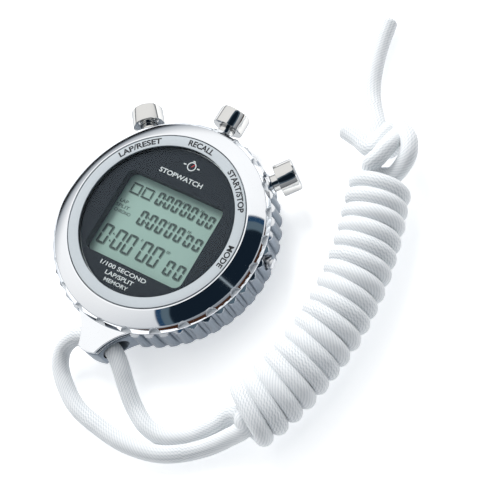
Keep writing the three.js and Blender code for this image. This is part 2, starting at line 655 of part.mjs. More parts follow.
place('upper_case', upperCase(), CHROME);
place('lower_case', lowerCase(), SATIN);
place('back_cover', backCover(), STEEL);
place('back_gasket', ring(LEDGE_RADIUS + RUNNING, COVER_RADIUS - GASKET_INSET,
  COVER_THICKNESS + RUNNING / 2, LEDGE_Z - RUNNING / 2), RUBBER);
BACK_SCREW_CLOCKS.forEach((clock, i) => {
  const [x, y] = onClock(clock, COVER_RADIUS - SCREW_RING_INSET);
  const seat = COVER_THICKNESS - 2 * BACK_SCREW.headHeight - RUNNING;
  place(`back_screw_${i + 1}`, screw(BACK_SCREW, BACK_SCREW.length), STEEL)
    .position.set(x, y, seat);
});

place('lens', lens(), CLEAR);
place('label_ring', labelRing(), SILVER);
place('lens_gasket', ring(FACE_RADIUS + 2 * RUNNING, FACE_RADIUS + LENS_RIM,
  SEAT_Z + RUNNING, SEAT_Z + RUNNING + SEAL_THICKNESS), RUBBER);
place('dial_mask', dialMask(), BLACK);
place('lcd_panel', block(LCD_WIDTH, LCD_HEIGHT, LCD_TOP_Z - LCD.thickness, LCD_TOP_Z, 0, WINDOW.y),
  LCD_GREEN);
zebraRows.forEach((y, i) => {
  const [bottom, top] = [BOARD_Z + RUNNING, LCD_TOP_Z - LCD.thickness - RUNNING];
  place(`zebra_strip_${i + 1}`, block(ZEBRA.length, ZEBRA.width, bottom, top, 0, y), ELASTOMER);
});
place('module_frame', moduleFrame(), WHITE_PLASTIC);
place('circuit_board', circuitBoard(), BOARD_GREEN);
const boardBottom = BOARD_Z - BOARD_THICKNESS;
BOARD_SCREW_CLOCKS.forEach((clock, i) => {
  const [x, y] = onClock(clock, BOARD_SCREW.ring);
  const length = BOARD_THICKNESS + BOARD_DROP + FRAME_THICKNESS;
  place(`board_screw_${i + 1}`, screw(BOARD_SCREW, length), STEEL)
    .position.set(x, y, boardBottom - RUNNING - BOARD_SCREW.headHeight);
});
place('controller_chip', chipDome(boardBottom - RUNNING), BLACK).position.set(CHIP.x, CHIP.y, 0);
const crystal = rod(CRYSTAL.radius, -CRYSTAL.length / 2, CRYSTAL.length / 2, 12);
place('quartz_crystal', crystal.rotateY(Math.PI / 2), STEEL)
  .position.set(CRYSTAL.x, CRYSTAL.y, boardBottom - RUNNING - CRYSTAL.radius);
const cellTop = boardBottom - 3 * GAP;
const cellBottom = cellTop - CELL.thickness;
place('battery_cell', rod(CELL.radius, cellBottom, cellTop, 32), STEEL)
  .position.set(CELL.x, CELL.y, 0);
place('battery_clip', batteryClip(cellBottom, boardBottom), STEEL);
place('buzzer_disc', rod(BUZZER.radius, COVER_THICKNESS + GAP,
  COVER_THICKNESS + GAP + BUZZER.thickness, 32), BRASS);

for (const { name, clock, spec } of allButtons) {
  const isPin = name === 'mode';
  const face = CASE_RADIUS + CAP.stand;
  const pinEnd = CASE_RADIUS + MODE.bushProud + MODE.reach;
  const stemEnd = isPin ? pinEnd : face + CAP.depth - RUNNING;
  buttonInside(name, clock, spec, stemEnd, spec.neck);
  if (!isPin) place(`${name}_cap`, radial(cap(face), clock, BUTTON_Z), CHROME);
  place(`${name}_contact`, contact(clock), BRASS);
}

const wrapSection = new THREE.Shape().absellipse(0, 0, WRAP_HALF_HEIGHT, WRAP_HALF_WIDTH,
  0, 2 * Math.PI);
const wrapAxis = curve(WRAP_AXIS.map(([x, y]) => [x, y, WRAP_HALF_HEIGHT]));
cordTube('cord_strands', STRANDS);
place('cord_wrap', along(wrapAxis, new THREE.Shape(wrapSection.getPoints(7)), 14), CORD_WHITE);
cordTube('cord_long_tail', LONG_TAIL);
cordTube('cord_short_tail', SHORT_TAIL);
const knot = new THREE.SphereGeometry(1, 14, 9).scale(KNOT.halfX, KNOT.halfY, KNOT.halfZ);
place('cord_knot', closed(knot.rotateZ(radians(KNOT.turn))), CORD_WHITE)
  .position.set(KNOT.x, KNOT.y, KNOT.z);

export default watch;
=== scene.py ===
# Digital hand stopwatch in a metal case, lying on its back with its braided neck cord wound up
# beside it. Metres, in the mechanical model's frame: +Z is out of the face, +Y is twelve
# o'clock, and the origin is the middle of the back cover, on the table.

import json
import math

import bmesh
import bpy
import numpy as np
from mathutils import Matrix, Vector


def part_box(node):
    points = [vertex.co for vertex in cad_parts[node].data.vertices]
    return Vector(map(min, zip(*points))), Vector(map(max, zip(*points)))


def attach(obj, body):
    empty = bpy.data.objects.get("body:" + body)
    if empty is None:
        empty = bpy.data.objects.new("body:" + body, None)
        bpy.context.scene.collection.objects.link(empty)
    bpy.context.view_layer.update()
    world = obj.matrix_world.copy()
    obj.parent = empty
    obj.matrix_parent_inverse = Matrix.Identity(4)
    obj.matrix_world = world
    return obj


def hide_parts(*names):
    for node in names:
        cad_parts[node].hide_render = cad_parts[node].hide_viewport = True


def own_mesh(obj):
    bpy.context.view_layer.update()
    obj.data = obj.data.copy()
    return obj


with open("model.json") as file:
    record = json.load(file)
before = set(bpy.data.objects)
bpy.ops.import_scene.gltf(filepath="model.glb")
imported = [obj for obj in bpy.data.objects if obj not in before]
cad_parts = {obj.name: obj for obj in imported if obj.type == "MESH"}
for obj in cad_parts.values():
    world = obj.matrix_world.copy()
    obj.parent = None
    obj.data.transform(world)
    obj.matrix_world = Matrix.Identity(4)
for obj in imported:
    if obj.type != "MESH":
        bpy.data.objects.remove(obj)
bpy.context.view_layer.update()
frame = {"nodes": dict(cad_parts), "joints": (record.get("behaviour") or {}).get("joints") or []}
scene = bpy.context.scene

# ---- Camera
# A long lens looks down on the watch from beyond its lower right, and is rolled so that twelve
# o'clock leans to the left.
camera = bpy.data.objects.new("camera", bpy.data.cameras.new("camera"))
scene.collection.objects.link(camera)
scene.camera = camera
camera.data.sensor_width = 36
camera.data.lens = 100.8
camera.data.clip_start = 0.01
camera.location = (0.1810, -0.0748, 0.3333)
camera_aim = Vector((0.0200, 0.0075, 0.0))
camera_roll = Matrix.Rotation(math.radians(-35.4), 3, "Z")
camera_turn = (camera_aim - camera.location).to_track_quat("-Z", "Y").to_matrix()
camera.rotation_euler = (camera_turn @ camera_roll).to_euler()

# ---- Neck cord
# One length of round white polyester braid. It is doubled through the lug, and the rest is
# wound round its own start in a tight bundle, with the two cut ends left free at the top.
CORD_RADIUS = 0.0024
WIND_WIDE = 0.0062  # centre of the cord from the middle of the bundle, sideways
WIND_HIGH = 0.0049  # and upwards
WIND_FOOT = 1.14  # how much wider the bundle is at its foot
WIND_RISE = 0.0076  # middle of the bundle over the table
WIND_PITCH = 0.0043
WIND_HAND = 1  # the sense of the turns
WIND_START = math.radians(215)  # where the first turn leaves the loop
WIND_FROM = 3  # points left out where the cord runs into the turns
WIND_UNTIL = 4  # and out of them
WIND_POINTS = 12  # points to a turn
YARNS = 16  # each way round the braid
PICK = 0.00094  # length of one crossing of the yarns
BRAID_RELIEF = 0.00011
BRAID_SIDES = 48
BRAID_STEP = 0.00031
MELT_DEPTH = 0.22  # how far the melted ends draw in
FREE_END = [
    (0.0228, 0.0838, 0.0026), (0.0239, 0.0770, 0.0026), (0.0257, 0.0701, 0.0026),
    (0.0280, 0.0639, 0.0026), (0.0305, 0.0595, 0.0030), (0.0341, 0.0551, 0.0045),
    (0.0380, 0.0508, 0.0060), (0.0405, 0.0481, 0.0055), (0.0422, 0.0473, 0.0040),
    (0.0424, 0.0491, 0.0026), (0.0409, 0.0516, 0.0026), (0.0398, 0.0533, 0.0032),
    (0.0413, 0.0542, 0.0050), (0.0452, 0.0525, 0.0080), (0.0485, 0.0499, 0.0098),
    (0.0503, 0.0464, 0.0100), (0.0500, 0.0429, 0.0088), (0.0485, 0.0396, 0.0077),
]
BUNDLE = [
    (0.0462, 0.0385), (0.0476, 0.0335), (0.0489, 0.0294), (0.0507, 0.0239), (0.0520, 0.0183),
    (0.0534, 0.0113), (0.0540, 0.0040), (0.0541, -0.0046), (0.0530, -0.0128),
    (0.0518, -0.0195), (0.0500, -0.0257), (0.0482, -0.0303), (0.0460, -0.0349),
]
LOOP = [
    (0.0471, -0.0365, 0.0066), (0.0436, -0.0406, 0.0044), (0.0389, -0.0453, 0.0028),
    (0.0324, -0.0503, 0.0026), (0.0267, -0.0529, 0.0026), (0.0178, -0.0543, 0.0026),
    (0.0089, -0.0536, 0.0026), (0.0010, -0.0520, 0.0026), (-0.0048, -0.0489, 0.0030),
    (-0.0092, -0.0446, 0.0042), (-0.0104, -0.0404, 0.0058), (-0.0082, -0.0366, 0.0078),
    (-0.0044, -0.0346, 0.0088), (0.0, -0.0342, 0.0089), (0.0044, -0.0348, 0.0087),
    (0.0078, -0.0373, 0.0072), (0.0110, -0.0409, 0.0048), (0.0156, -0.0449, 0.0028),
    (0.0218, -0.0478, 0.0026), (0.0277, -0.0478, 0.0026), (0.0340, -0.0442, 0.0026),
    (0.0386, -0.0387, 0.0030), (0.0418, -0.0347, 0.0046),
]
TUCKED_END = [
    (0.0433, 0.0389, 0.0116), (0.0445, 0.0415, 0.0126), (0.0449, 0.0447, 0.0122),
    (0.0442, 0.0494, 0.0085), (0.0434, 0.0515, 0.0062), (0.0412, 0.0520, 0.0064),
    (0.0402, 0.0490, 0.0070), (0.0394, 0.0448, 0.0074), (0.0340, 0.0464, 0.0060),
    (0.0285, 0.0478, 0.0050),
]


def even_line(points, step):
    """Evenly spaced points on a centripetal spline through the given ones."""
    points = np.array(points)
    ends = np.vstack([2 * points[0] - points[1], points, 2 * points[-1] - points[-2]])
    gaps = np.sqrt(np.linalg.norm(np.diff(ends, axis=0), axis=1))
    knots = np.concatenate([[0], np.cumsum(gaps)])

    def between(t, low, high, p, q):
        return ((knots[high] - t) * p + (t - knots[low]) * q) / (knots[high] - knots[low])

    dense = []
    for i in range(1, len(ends) - 2):
        t = np.linspace(knots[i], knots[i + 1], 24, endpoint=False)[:, None]
        sides = [between(t, k, k + 1, ends[k], ends[k + 1]) for k in (i - 1, i, i + 1)]
        left = between(t, i - 1, i + 1, sides[0], sides[1])
        right = between(t, i, i + 2, sides[1], sides[2])
        dense.append(between(t, i, i + 1, left, right))
    line = np.vstack([*dense, points[-1:]])
    run = np.concatenate([[0], np.cumsum(np.linalg.norm(np.diff(line, axis=0), axis=1))])
    places = np.linspace(0, run[-1], round(run[-1] / step))
    return np.column_stack([np.interp(places, run, line[:, k]) for k in range(3)])


def wound_turns():
    """The turns round the bundle, from its bottom to its top."""
    axis = even_line([(x, y, WIND_RISE) for x, y in reversed(BUNDLE)], WIND_PITCH / WIND_POINTS)
    along = np.gradient(axis, axis=0)
    along /= np.linalg.norm(along, axis=1)[:, None]
    side = np.column_stack([along[:, 1], -along[:, 0], np.zeros(len(axis))])
    angle = WIND_START + WIND_HAND * 2 * np.pi * np.arange(len(axis)) / WIND_POINTS
    wide = WIND_WIDE * np.linspace(WIND_FOOT, 1, len(axis))
    turns = axis + side * (wide * np.cos(angle))[:, None]
    turns[:, 2] += WIND_HIGH * np.sin(angle)
    return [tuple(p) for p in turns[WIND_FROM:-WIND_UNTIL]]


def swept(name, line, radius, sides):
    """A closed tube along a line; radius is a number, or an array of rings by sides."""
    along = np.gradient(line, axis=0)
    along /= np.linalg.norm(along, axis=1)[:, None]
    across = np.cross(along[0], (0.3, 0.2, 1.0))
    frames = []
    for direction in along:
        across = across - direction * across.dot(direction)
        across = across / np.linalg.norm(across)
        frames.append((across, np.cross(direction, across)))
    frames = np.array(frames)
    angle = 2 * np.pi * np.arange(sides) / sides
    reach = np.broadcast_to(radius, (len(line), sides))[:, :, None]
    spokes = (np.cos(angle)[None, :, None] * frames[:, None, 0]
              + np.sin(angle)[None, :, None] * frames[:, None, 1])
    points = (line[:, None] + reach * spokes).reshape(-1, 3)
    ring, step = np.meshgrid(np.arange(len(line) - 1), np.arange(sides), indexing="ij")
    a, b = ring * sides + step, ring * sides + (step + 1) % sides
    quads = np.stack([a, b, b + sides, a + sides], axis=-1).reshape(-1, 4)
    caps = [list(range(sides))[::-1], list(range(len(points) - sides, len(points)))]
    return solid(name, points.tolist(), quads.tolist() + caps)


def placed(name, mesh):
    piece = bpy.data.objects.new(name, mesh)
    scene.collection.objects.link(piece)
    return piece


def solid(name, points, faces):
    """A closed piece from its points and faces, with all faces turned outwards."""
    mesh = bpy.data.meshes.new(name)
    mesh.from_pydata(points, [], faces)
    work = bmesh.new()
    work.from_mesh(mesh)
    bmesh.ops.remove_doubles(work, verts=work.verts, dist=1e-7)
    bmesh.ops.recalc_face_normals(work, faces=work.faces)
    work.to_mesh(mesh)
    work.free()
    return placed(name, mesh)


def fitted(piece, finish, nodes=(), body="watch", sharp=32):
    """Gives a piece its finish, the body it moves with and the plain nodes it stands for."""
    piece.data.shade_smooth()
    piece.data.set_sharp_from_angle(angle=math.radians(sharp))
    piece.data.materials.clear()
    piece.data.materials.append(finish)
    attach(piece, body)
    if nodes:
        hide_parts(*nodes)
    return piece


class Wire:
    """A node socket that takes part in sums: each operator adds its Math node."""

    def __init__(self, paint, socket):
        self.paint, self.socket = paint, socket

    def maths(self, operation, first, second):
        return self.paint.node("Math", {"operation": operation}, {0: first, 1: second})

    def __add__(self, other):
        return self.maths("ADD", self, other)

    def __sub__(self, other):
        return self.maths("SUBTRACT", self, other)

    def __rsub__(self, other):
        return self.maths("SUBTRACT", other, self)

    def __mul__(self, other):
        return self.maths("MULTIPLY", self, other)

    __radd__, __rmul__ = __add__, __mul__


class Nodes:
    """A node tree that makes any node from its type, settings and inputs."""

    def __init__(self, tree):
        self.tree = tree

    def join(self, value, socket):
        if isinstance(value, Wire):
            self.tree.links.new(value.socket, socket)
        else:
            socket.default_value = value

    def node(self, kind, settings=(), inputs=(), out=0):
        made = self.tree.nodes.new("ShaderNode" + kind)
        for key, value in dict(settings).items():
            setattr(made, key, value)
        for key, value in dict(inputs).items():
            self.join(value, made.inputs[key])
        return Wire(self, made.outputs[out])

    def between(self, share, low, high):
        """A colour between two others."""
        return self.node("Mix", {"data_type": "RGBA"}, {0: share, 6: low, 7: high}, 2)

    def mottled(self, share, colour, dark):
        """A colour that falls to a darker share of itself."""
        return self.between(share, tuple(dark * c for c in colour) + (1,), (*colour, 1))


class Paint(Nodes):
    """One finish: a material with its Principled shader, and the nodes that feed it."""

    def __init__(self, name, **constants):
        self.material = bpy.data.materials.new(name)
        self.material.use_nodes = True
        super().__init__(self.material.node_tree)
        self.shader = self.tree.nodes["Principled BSDF"]
        names = {key: key.replace("_", " ").title().replace("Ior", "IOR") for key in constants}
        self.feed({names[key]: value for key, value in constants.items()})

    def feed(self, inputs):
        for key, value in inputs.items():
            self.join(value, self.shader.inputs[key])

    def place(self):
        return self.node("TexCoord", out="Object")

    def noise(self, scale, detail=3, stretch=(1, 1, 1)):
        where = self.node("VectorMath", {"operation": "MULTIPLY"}, {0: self.place(), 1: stretch})
        return self.node("TexNoise", inputs={"Vector": where, "Scale": scale, "Detail": detail})

    def relief(self, height, depth, strength=1.0):
        """Feeds the normal with a height map; depth is in metres."""
        bump = self.node("Bump", inputs={"Height": height, "Distance": depth,
                                         "Strength": strength})
        self.feed({"Normal": bump})


def grey(value):
    return value, value, value, 1


def polyester(name):
    """White braid with painted shade: grey in the valleys between the yarns, where shade falls,
    with fine fibres along them.
    """
    paint = Paint(name, roughness=0.82, sheen_weight=0.25, sheen_roughness=0.5)
    weave = paint.node("Attribute", {"attribute_name": "weave"}, out="Fac")
    uneven = paint.noise(260, 2)
    fibres = paint.noise(5200, 2, (1, 1, 0.35))
    # painted shade: the weave attribute darkens the colour to bluish grey in the valleys between
    # the yarns
    shade = weave * 0.72 + uneven * 0.2 + fibres * 0.12
    paint.feed({"Base Color": paint.between(shade, (0.46, 0.50, 0.54, 1), (0.92, 0.935, 0.94, 1)),
                "Roughness": 0.95 - weave * 0.18})
    paint.relief(fibres, 0.00004, 0.5)
    return paint.material


turns = wound_turns()
cord_line = even_line(FREE_END + [(x, y, WIND_RISE) for x, y in BUNDLE] + LOOP
                      + turns + TUCKED_END, BRAID_STEP)
steps = np.arange(len(cord_line))[:, None] * BRAID_STEP / PICK
round_it = np.arange(BRAID_SIDES)[None, :] * YARNS / BRAID_SIDES
left, right = round_it + steps, round_it - steps
over = (np.floor(left) + np.floor(right)) % 2 > 0.5
weave = np.where(over, np.abs(np.sin(np.pi * left)), np.abs(np.sin(np.pi * right)))
from_end = np.minimum(np.arange(len(cord_line)), np.arange(len(cord_line))[::-1])
melted = 1 - MELT_DEPTH * np.clip(1 - from_end * BRAID_STEP / CORD_RADIUS * 2, 0, 1) ** 2
braid_radius = (CORD_RADIUS + BRAID_RELIEF * (weave - 0.7)) * melted[:, None]
neck_cord = swept("neck_cord", cord_line, braid_radius, BRAID_SIDES)
# the weave value is stored on the mesh so that the braid's material can paint shade into its
# valleys
painted_valley_shade = neck_cord.data.attributes.new("weave", "FLOAT", "POINT")
painted_valley_shade.data.foreach_set("value", weave.reshape(-1))
fitted(neck_cord, polyester("white braided polyester"),
       ["cord_strands", "cord_wrap", "cord_long_tail", "cord_short_tail", "cord_knot"], sharp=180)
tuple(TUCKED_END[-1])

# ---- Lower case
# A cast ring with 48 round grips and narrow grooves between them, blasted to a fine satin. The
# upper corner of each grip is turned back and polished, and the lug is cast in one with it.
GRIPS = 48
GRIP_STEPS = 14
GROOVE_WIDTH = 0.00095
GROOVE_FLOOR = 0.0304
GRIP_RISE = 0.0011
GRIP_BEVEL = 0.00065  # height of the polished bevel
BEVEL_INSIDE = 0.0307  # where it meets the ring's flat top
BEVEL_STEPS = 9
RING_FOOT = 0.0051  # where the straight side ends and the sloped underside starts
SLOPE_FOOT = 0.0006
SLOPE_INSIDE = 0.0282
SLOPE_STEPS = 13
SIDE_HEIGHTS = (0.0115, 0.0083)
OUTSIDE = 0.0316
CAVITY = 0.0288
COVER_RECESS = 0.0273
COVER_LEDGE = 0.0226
LEDGE_HEIGHTS = (0.0019, 0.0034)
LUG_ROOT = (0.0095, -0.0286)
LUG_WAIST = (0.0042, -0.0328)
LUG_END = -0.0383
LUG_BOW = 0.0012
TUNNEL_RADIUS = 0.0033
TUNNEL = (-0.0343, 0.0089)  # its axis, along X
TUNNEL_REACH = 0.012  # to each side
LUG_HEIGHTS = (0.0124, 0.0052)  # its bottom and top, below the face's top
CAVITY_BORES = (0.0278, 0.0330)  # from inside the wall to outside it
face_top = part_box("label_ring")[1][2]
ring_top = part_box("lower_case")[1][2]
button_height = sum(corner[2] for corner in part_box("recall_cap")) / 2
lug_bottom, lug_top = (face_top - depth for depth in LUG_HEIGHTS)


def bowed(start, handle, end, steps=12):
    """Points along a curve that leaves towards a handle and arrives from it."""
    start, handle, end = Vector(start), Vector(handle), Vector(end)
    shares = [k / steps for k in range(steps)]
    return [(1 - t) ** 2 * start + 2 * t * (1 - t) * handle + t * t * end for t in shares]


def rounded(outline, soft, steps=3):
    """A closed outline with its corners rounded; a corner's third value is its own radius."""
    eased = []
    for i, corner in enumerate(outline):
        here = Vector(corner[:2])
        back = Vector(outline[i - 1][:2]) - here
        ahead = Vector(outline[(i + 1) % len(outline)][:2]) - here
        if here.x == 0 or not soft:
            eased.append(here)
            continue
        radius = corner[2] if len(corner) > 2 else soft
        radius = min(radius, 0.45 * back.length, 0.45 * ahead.length)
        start, end = here + back.normalized() * radius, here + ahead.normalized() * radius
        eased += [*bowed(start, here, end, steps), end]
    return eased


def ringed(name, points):
    """A closed skin over a grid of points that meets itself both ways."""
    count, across = points.shape[:2]
    rows, columns = np.meshgrid(range(count), range(across), indexing="ij")
    ahead, beside = (rows + 1) % count * across, (columns + 1) % across
    rows = rows * across
    quads = np.stack([rows + columns, ahead + columns, ahead + beside, rows + beside], axis=-1)
    return solid(name, points.reshape(-1, 3).tolist(), quads.reshape(-1, 4).tolist())


def aimed(piece, direction, height):
    """Lays a piece made along Z along a direction instead, at a height."""
    turn = Vector(direction).to_track_quat("Z", "Y").to_matrix().to_4x4()
    piece.data.transform(Matrix.Translation((0, 0, height)) @ turn)
    return piece


def round_the_case(piece, radius, turn):
    """Moves a piece from the middle to a place round the case, clockwise from twelve."""
    piece.data.transform(Matrix.Translation((radius * math.sin(turn), radius * math.cos(turn), 0)))
    return piece


def turned(name, outline, steps=144, soft=0.0001, direction=None, height=0.0):
    """A piece turned about Z, or about a direction across the case at a height."""
    profile = np.array([tuple(p) for p in rounded(outline, soft)])
    angle = 2 * np.pi * np.arange(steps) / steps
    points = np.stack([np.cos(angle)[:, None] * profile[:, 0],
                       np.sin(angle)[:, None] * profile[:, 0],
                       np.broadcast_to(profile[:, 1], (steps, len(profile)))], axis=-1)
    piece = ringed(name, points)
    return piece if direction is None else aimed(piece, direction, height)


def plate(name, outline, bottom, top, edge=0.00015):
    """A piece of one outline between two heights, with its edges eased."""
    work = bmesh.new()
    face = work.faces.new([work.verts.new((x, y, bottom)) for x, y in outline])
    lifted = bmesh.ops.extrude_face_region(work, geom=[face])["geom"]
    raised = [v for v in lifted if isinstance(v, bmesh.types.BMVert)]
    bmesh.ops.translate(work, verts=raised, vec=(0, 0, top - bottom))
    rims = [e for e in work.edges if abs(e.verts[0].co.z - e.verts[1].co.z) < 1e-6]
    if edge:
        bmesh.ops.bevel(work, geom=rims, offset=edge, segments=3, profile=0.5, affect="EDGES")
    bmesh.ops.recalc_face_normals(work, faces=work.faces)
    mesh = bpy.data.meshes.new(name)
    work.to_mesh(mesh)
    work.free()
    return placed(name, mesh)


def joined(pieces):
    """One object out of several that don't touch."""
    whole = bmesh.new()
    for piece in pieces:
        whole.from_mesh(piece.data)
    whole.to_mesh(pieces[0].data)
    whole.free()
    for piece in pieces[1:]:
        bpy.data.objects.remove(piece)
    return pieces[0]


def shaped(piece, tool, operation="DIFFERENCE"):
    change = piece.modifiers.new("shape", "BOOLEAN")
    change.object, change.operation, change.solver = tool, operation, "EXACT"
    bpy.context.view_layer.update()
    graph = bpy.context.evaluated_depsgraph_get()
    mesh = bpy.data.meshes.new_from_object(piece.evaluated_get(graph))
    piece.modifiers.clear()
    piece.data = mesh
    bpy.data.objects.remove(tool)
    return piece


def lug_outline(tip, widen):
    """The lug seen from above, with its hollow sides, from inside the case to its end."""
    root, waist = (LUG_ROOT[0] + widen, LUG_ROOT[1]), (LUG_WAIST[0] + widen, LUG_WAIST[1])
    side = bowed(root, waist, (tip, LUG_END))
    end = bowed((tip, LUG_END), (0, LUG_END - LUG_BOW), (-tip, LUG_END))
    return [*side, *end, Vector((-tip, LUG_END)), *[Vector((-p.x, p.y)) for p in side[::-1]]]


def bore(radius, start, end, direction):
    return turned("bore", [(0, start), (radius, start), (radius, end), (0, end)], 48, 0,
                  direction, button_height)


def satin_metal(name, colour, rough, grain=2600, metallic=1.0):
    """Blasted metal: an even, very fine pitting that spreads the light."""
    paint = Paint(name, metallic=metallic)
    pits, cloud = paint.noise(grain, 4), paint.noise(90, 2)
    paint.feed({"Base Color": paint.mottled(cloud, colour, 0.9),
                "Roughness": rough + pits * 0.10 + cloud * 0.04})
    paint.relief(pits, 0.00001, 0.6)
    return paint.material


def polished(name, colour=(0.85, 0.87, 0.895), rough=0.025):
    """Bright plate, with faint wiping marks and the slight waviness of hand polishing."""
    paint = Paint(name, metallic=1.0, specular_tint=(0.45, 0.47, 0.50, 1))
    wipes, waves = paint.noise(420, 3, (1, 0.25, 1)), paint.noise(130, 1)
    paint.feed({"Base Color": paint.mottled(waves, colour, 0.96),
                "Roughness": rough + wipes * 0.05})
    paint.relief(waves, 0.00001, 0.35)
    return paint.material


buttons = {joint["name"].removesuffix("_press"): Vector(joint["axis"]) * -1
           for joint in frame["joints"]}
bright_plate = polished("polished chrome plate")
case_satin = satin_metal("blasted satin case", (0.235, 0.27, 0.315), 0.30)
share = np.linspace(0, 1, GRIP_STEPS + 1)
pitch, half_groove = 2 * np.pi / GRIPS, GROOVE_WIDTH / 2 / GROOVE_FLOOR
grip_angle = np.concatenate([k * pitch + half_groove + share * (pitch - 2 * half_groove)
                             for k in range(GRIPS)])
grip_radius = np.tile(GROOVE_FLOOR + GRIP_RISE * np.sin(np.pi * share) ** 0.45, GRIPS)
bevel = [(ring_top - t * GRIP_BEVEL, BEVEL_INSIDE + t * (OUTSIDE - BEVEL_INSIDE))
         for t in np.linspace(0, 1, BEVEL_STEPS + 1)]
slope = [(RING_FOOT + t * (SLOPE_FOOT - RING_FOOT), OUTSIDE + t * (SLOPE_INSIDE - OUTSIDE))
         for t in np.linspace(0, 1, SLOPE_STEPS + 1)]
inside = [(SLOPE_FOOT, COVER_RECESS), (LEDGE_HEIGHTS[0], COVER_RECESS),
          (LEDGE_HEIGHTS[0], COVER_LEDGE), (LEDGE_HEIGHTS[1], COVER_LEDGE),
          (LEDGE_HEIGHTS[1], CAVITY), (ring_top, CAVITY)]
levels = np.array(bevel + [(height, OUTSIDE) for height in SIDE_HEIGHTS] + slope + inside)
reach = np.minimum(grip_radius[:, None], levels[None, :, 1])
points = np.stack([np.cos(grip_angle)[:, None] * reach, np.sin(grip_angle)[:, None] * reach,
                   np.broadcast_to(levels[None, :, 0], reach.shape)], axis=-1)
lower_case = ringed("lower_case_ring", points)
lug_body = plate("lug_body", lug_outline(0.0034, 0.0006), lug_bottom, lug_top, 0.0003)
lower_case = shaped(lower_case, lug_body, "UNION")
tunnel = turned("tunnel", [(0, -TUNNEL_REACH), (TUNNEL_RADIUS, -TUNNEL_REACH),
                           (TUNNEL_RADIUS, TUNNEL_REACH), (0, TUNNEL_REACH)], 48, 0, (1, 0, 0))
tunnel.data.transform(Matrix.Translation((0, *TUNNEL)))
plate_room = plate("plate_room", lug_outline(0.0030, 0.0003), lug_top, face_top, 0)
bores = [bore(0.00215 if name == "mode" else 0.0031, *CAVITY_BORES, direction)
         for name, direction in buttons.items()]
lower_case = shaped(lower_case, joined([tunnel, plate_room, *bores]))
fitted(lower_case, case_satin, ["lower_case"])
lower_case.data.materials.append(bright_plate)
for face in lower_case.data.polygons:
    on_bevel = math.hypot(*face.center[:2]) > 0.03072 and face.center[2] > ring_top - 0.0008
    face.material_index = int(on_bevel and face.normal[2] > 0.4)

# ---- Upper case
# A turned and chromed shell: a narrow lip round the dial, a long cone and a step cut by 24
# scoops, with a flat tongue that covers the lug. A spigot under it fits the lower case.
LIP = (0.0252, 0.00032)
FLANGE_RADIUS = 0.0308
SCOOPS = 24
SCOOP_RADIUS = 0.0018
SCOOP_CENTRE = 0.0314
SCOOP_BAND = (0.0292, 0.0309)  # the scoops' floors and walls lie between these radii
NOTCHES = (0.0262, 0.0295)  # cut for the bushes, from inside outwards
step_top, flange_top = face_top - 0.0023, face_top - 0.0037
flange_bottom, spigot_foot = flange_top - 0.0004, flange_top - 0.0020
seat = face_top - 0.0020
upper_case = turned("upper_case_shell", [
    (LIP[0], face_top - 0.0001, 0.00005), (LIP[0] + LIP[1], face_top, 0.00025),
    (0.0298, step_top + 0.0001, 0.0003), (FLANGE_RADIUS, flange_top, 0.0001),
    (FLANGE_RADIUS, flange_bottom), (0.0285, flange_bottom), (0.0285, spigot_foot),
    (0.0273, spigot_foot), (0.0273, flange_top), (LIP[0], seat - 0.0007),
    (0.0219, seat - 0.0007), (0.0219, seat), (LIP[0], seat),
], 288, 0.00012)
scoops = []
for k in range(SCOOPS):
    scoop = turned("scoop", [(0, flange_top + 0.00002), (SCOOP_RADIUS, flange_top + 0.00002),
                             (SCOOP_RADIUS, face_top), (0, face_top)], 40, 0)
    scoops.append(round_the_case(scoop, SCOOP_CENTRE, 2 * math.pi * k / SCOOPS))
notches = [bore(0.00235 if name == "mode" else 0.0033, *NOTCHES, direction)
           for name, direction in buttons.items()]
upper_case = shaped(upper_case, joined(scoops + notches))
tongue = plate("tongue", lug_outline(0.0027, 0), flange_bottom - 0.0008, flange_bottom + 0.0001)
upper_case = shaped(upper_case, shaped(tongue, turned(
    "inside", [(0, 0.01), (0.0279, 0.01), (0.0279, 0.02), (0, 0.02)], 144, 0)), "UNION")
fitted(upper_case, bright_plate, ["upper_case"])
scoop_satin = satin_metal("brushed scoops", (0.74, 0.77, 0.80), 0.40, 1800, 0.4)
upper_case.data.materials.append(scoop_satin)
for face in upper_case.data.polygons:
    radius, rise = math.hypot(*face.center[:2]), face.center[2] - flange_top
    on_floor = abs(rise) < 0.0001 and face.normal[2] > 0.9
    on_wall = rise > 0.0001 and abs(face.normal[2]) < 0.2
    in_band = SCOOP_BAND[0] < radius < SCOOP_BAND[1]
    face.material_index = int(in_band and (on_floor or on_wall))

# ---- Push buttons
# Three large plain caps, plated with nickel, stand on stems that slide in plated bushes pressed
# into the case. The fourth button is a small grooved pin in a recess, pushed with a pen.
CAP_RADIUS = 0.00445
CAP_FACE, CAP_END = 0.0336, 0.0389
CONTACT_FACE = 0.02215  # where the thin inner rods meet their contacts
PRESSES = {"start_stop": 0.0012, "recall": 0.0012, "lap_reset": 0.0012, "mode": 0.0008}


def brushed(name, colour, rough, stretch):
    """Turned or rolled metal, with fine lines left by the tool."""
    paint = Paint(name, metallic=1.0)
    lines, cloud = paint.noise(900, 4, stretch), paint.noise(120, 2)
    paint.feed({"Base Color": paint.mottled(lines * 0.6 + cloud * 0.4, colour, 0.82),
                "Roughness": rough + lines * 0.14})
    paint.relief(lines, 0.000008, 0.5)
    return paint.material


def coil(name, start, end, radius, wire, turns, direction):
    """A coil spring lying along a direction, with its end turns closed up."""
    t = np.linspace(0, 1, round(turns * 28))
    eased = np.clip((t * turns - 0.5) / (turns - 1), 0, 1)
    run = start + wire + (end - start - 2 * wire) * (0.12 * t + 0.88 * eased)
    line = np.column_stack([radius * np.cos(2 * np.pi * turns * t),
                            radius * np.sin(2 * np.pi * turns * t), run])
    return aimed(swept(name, line, wire, 10), direction, button_height)


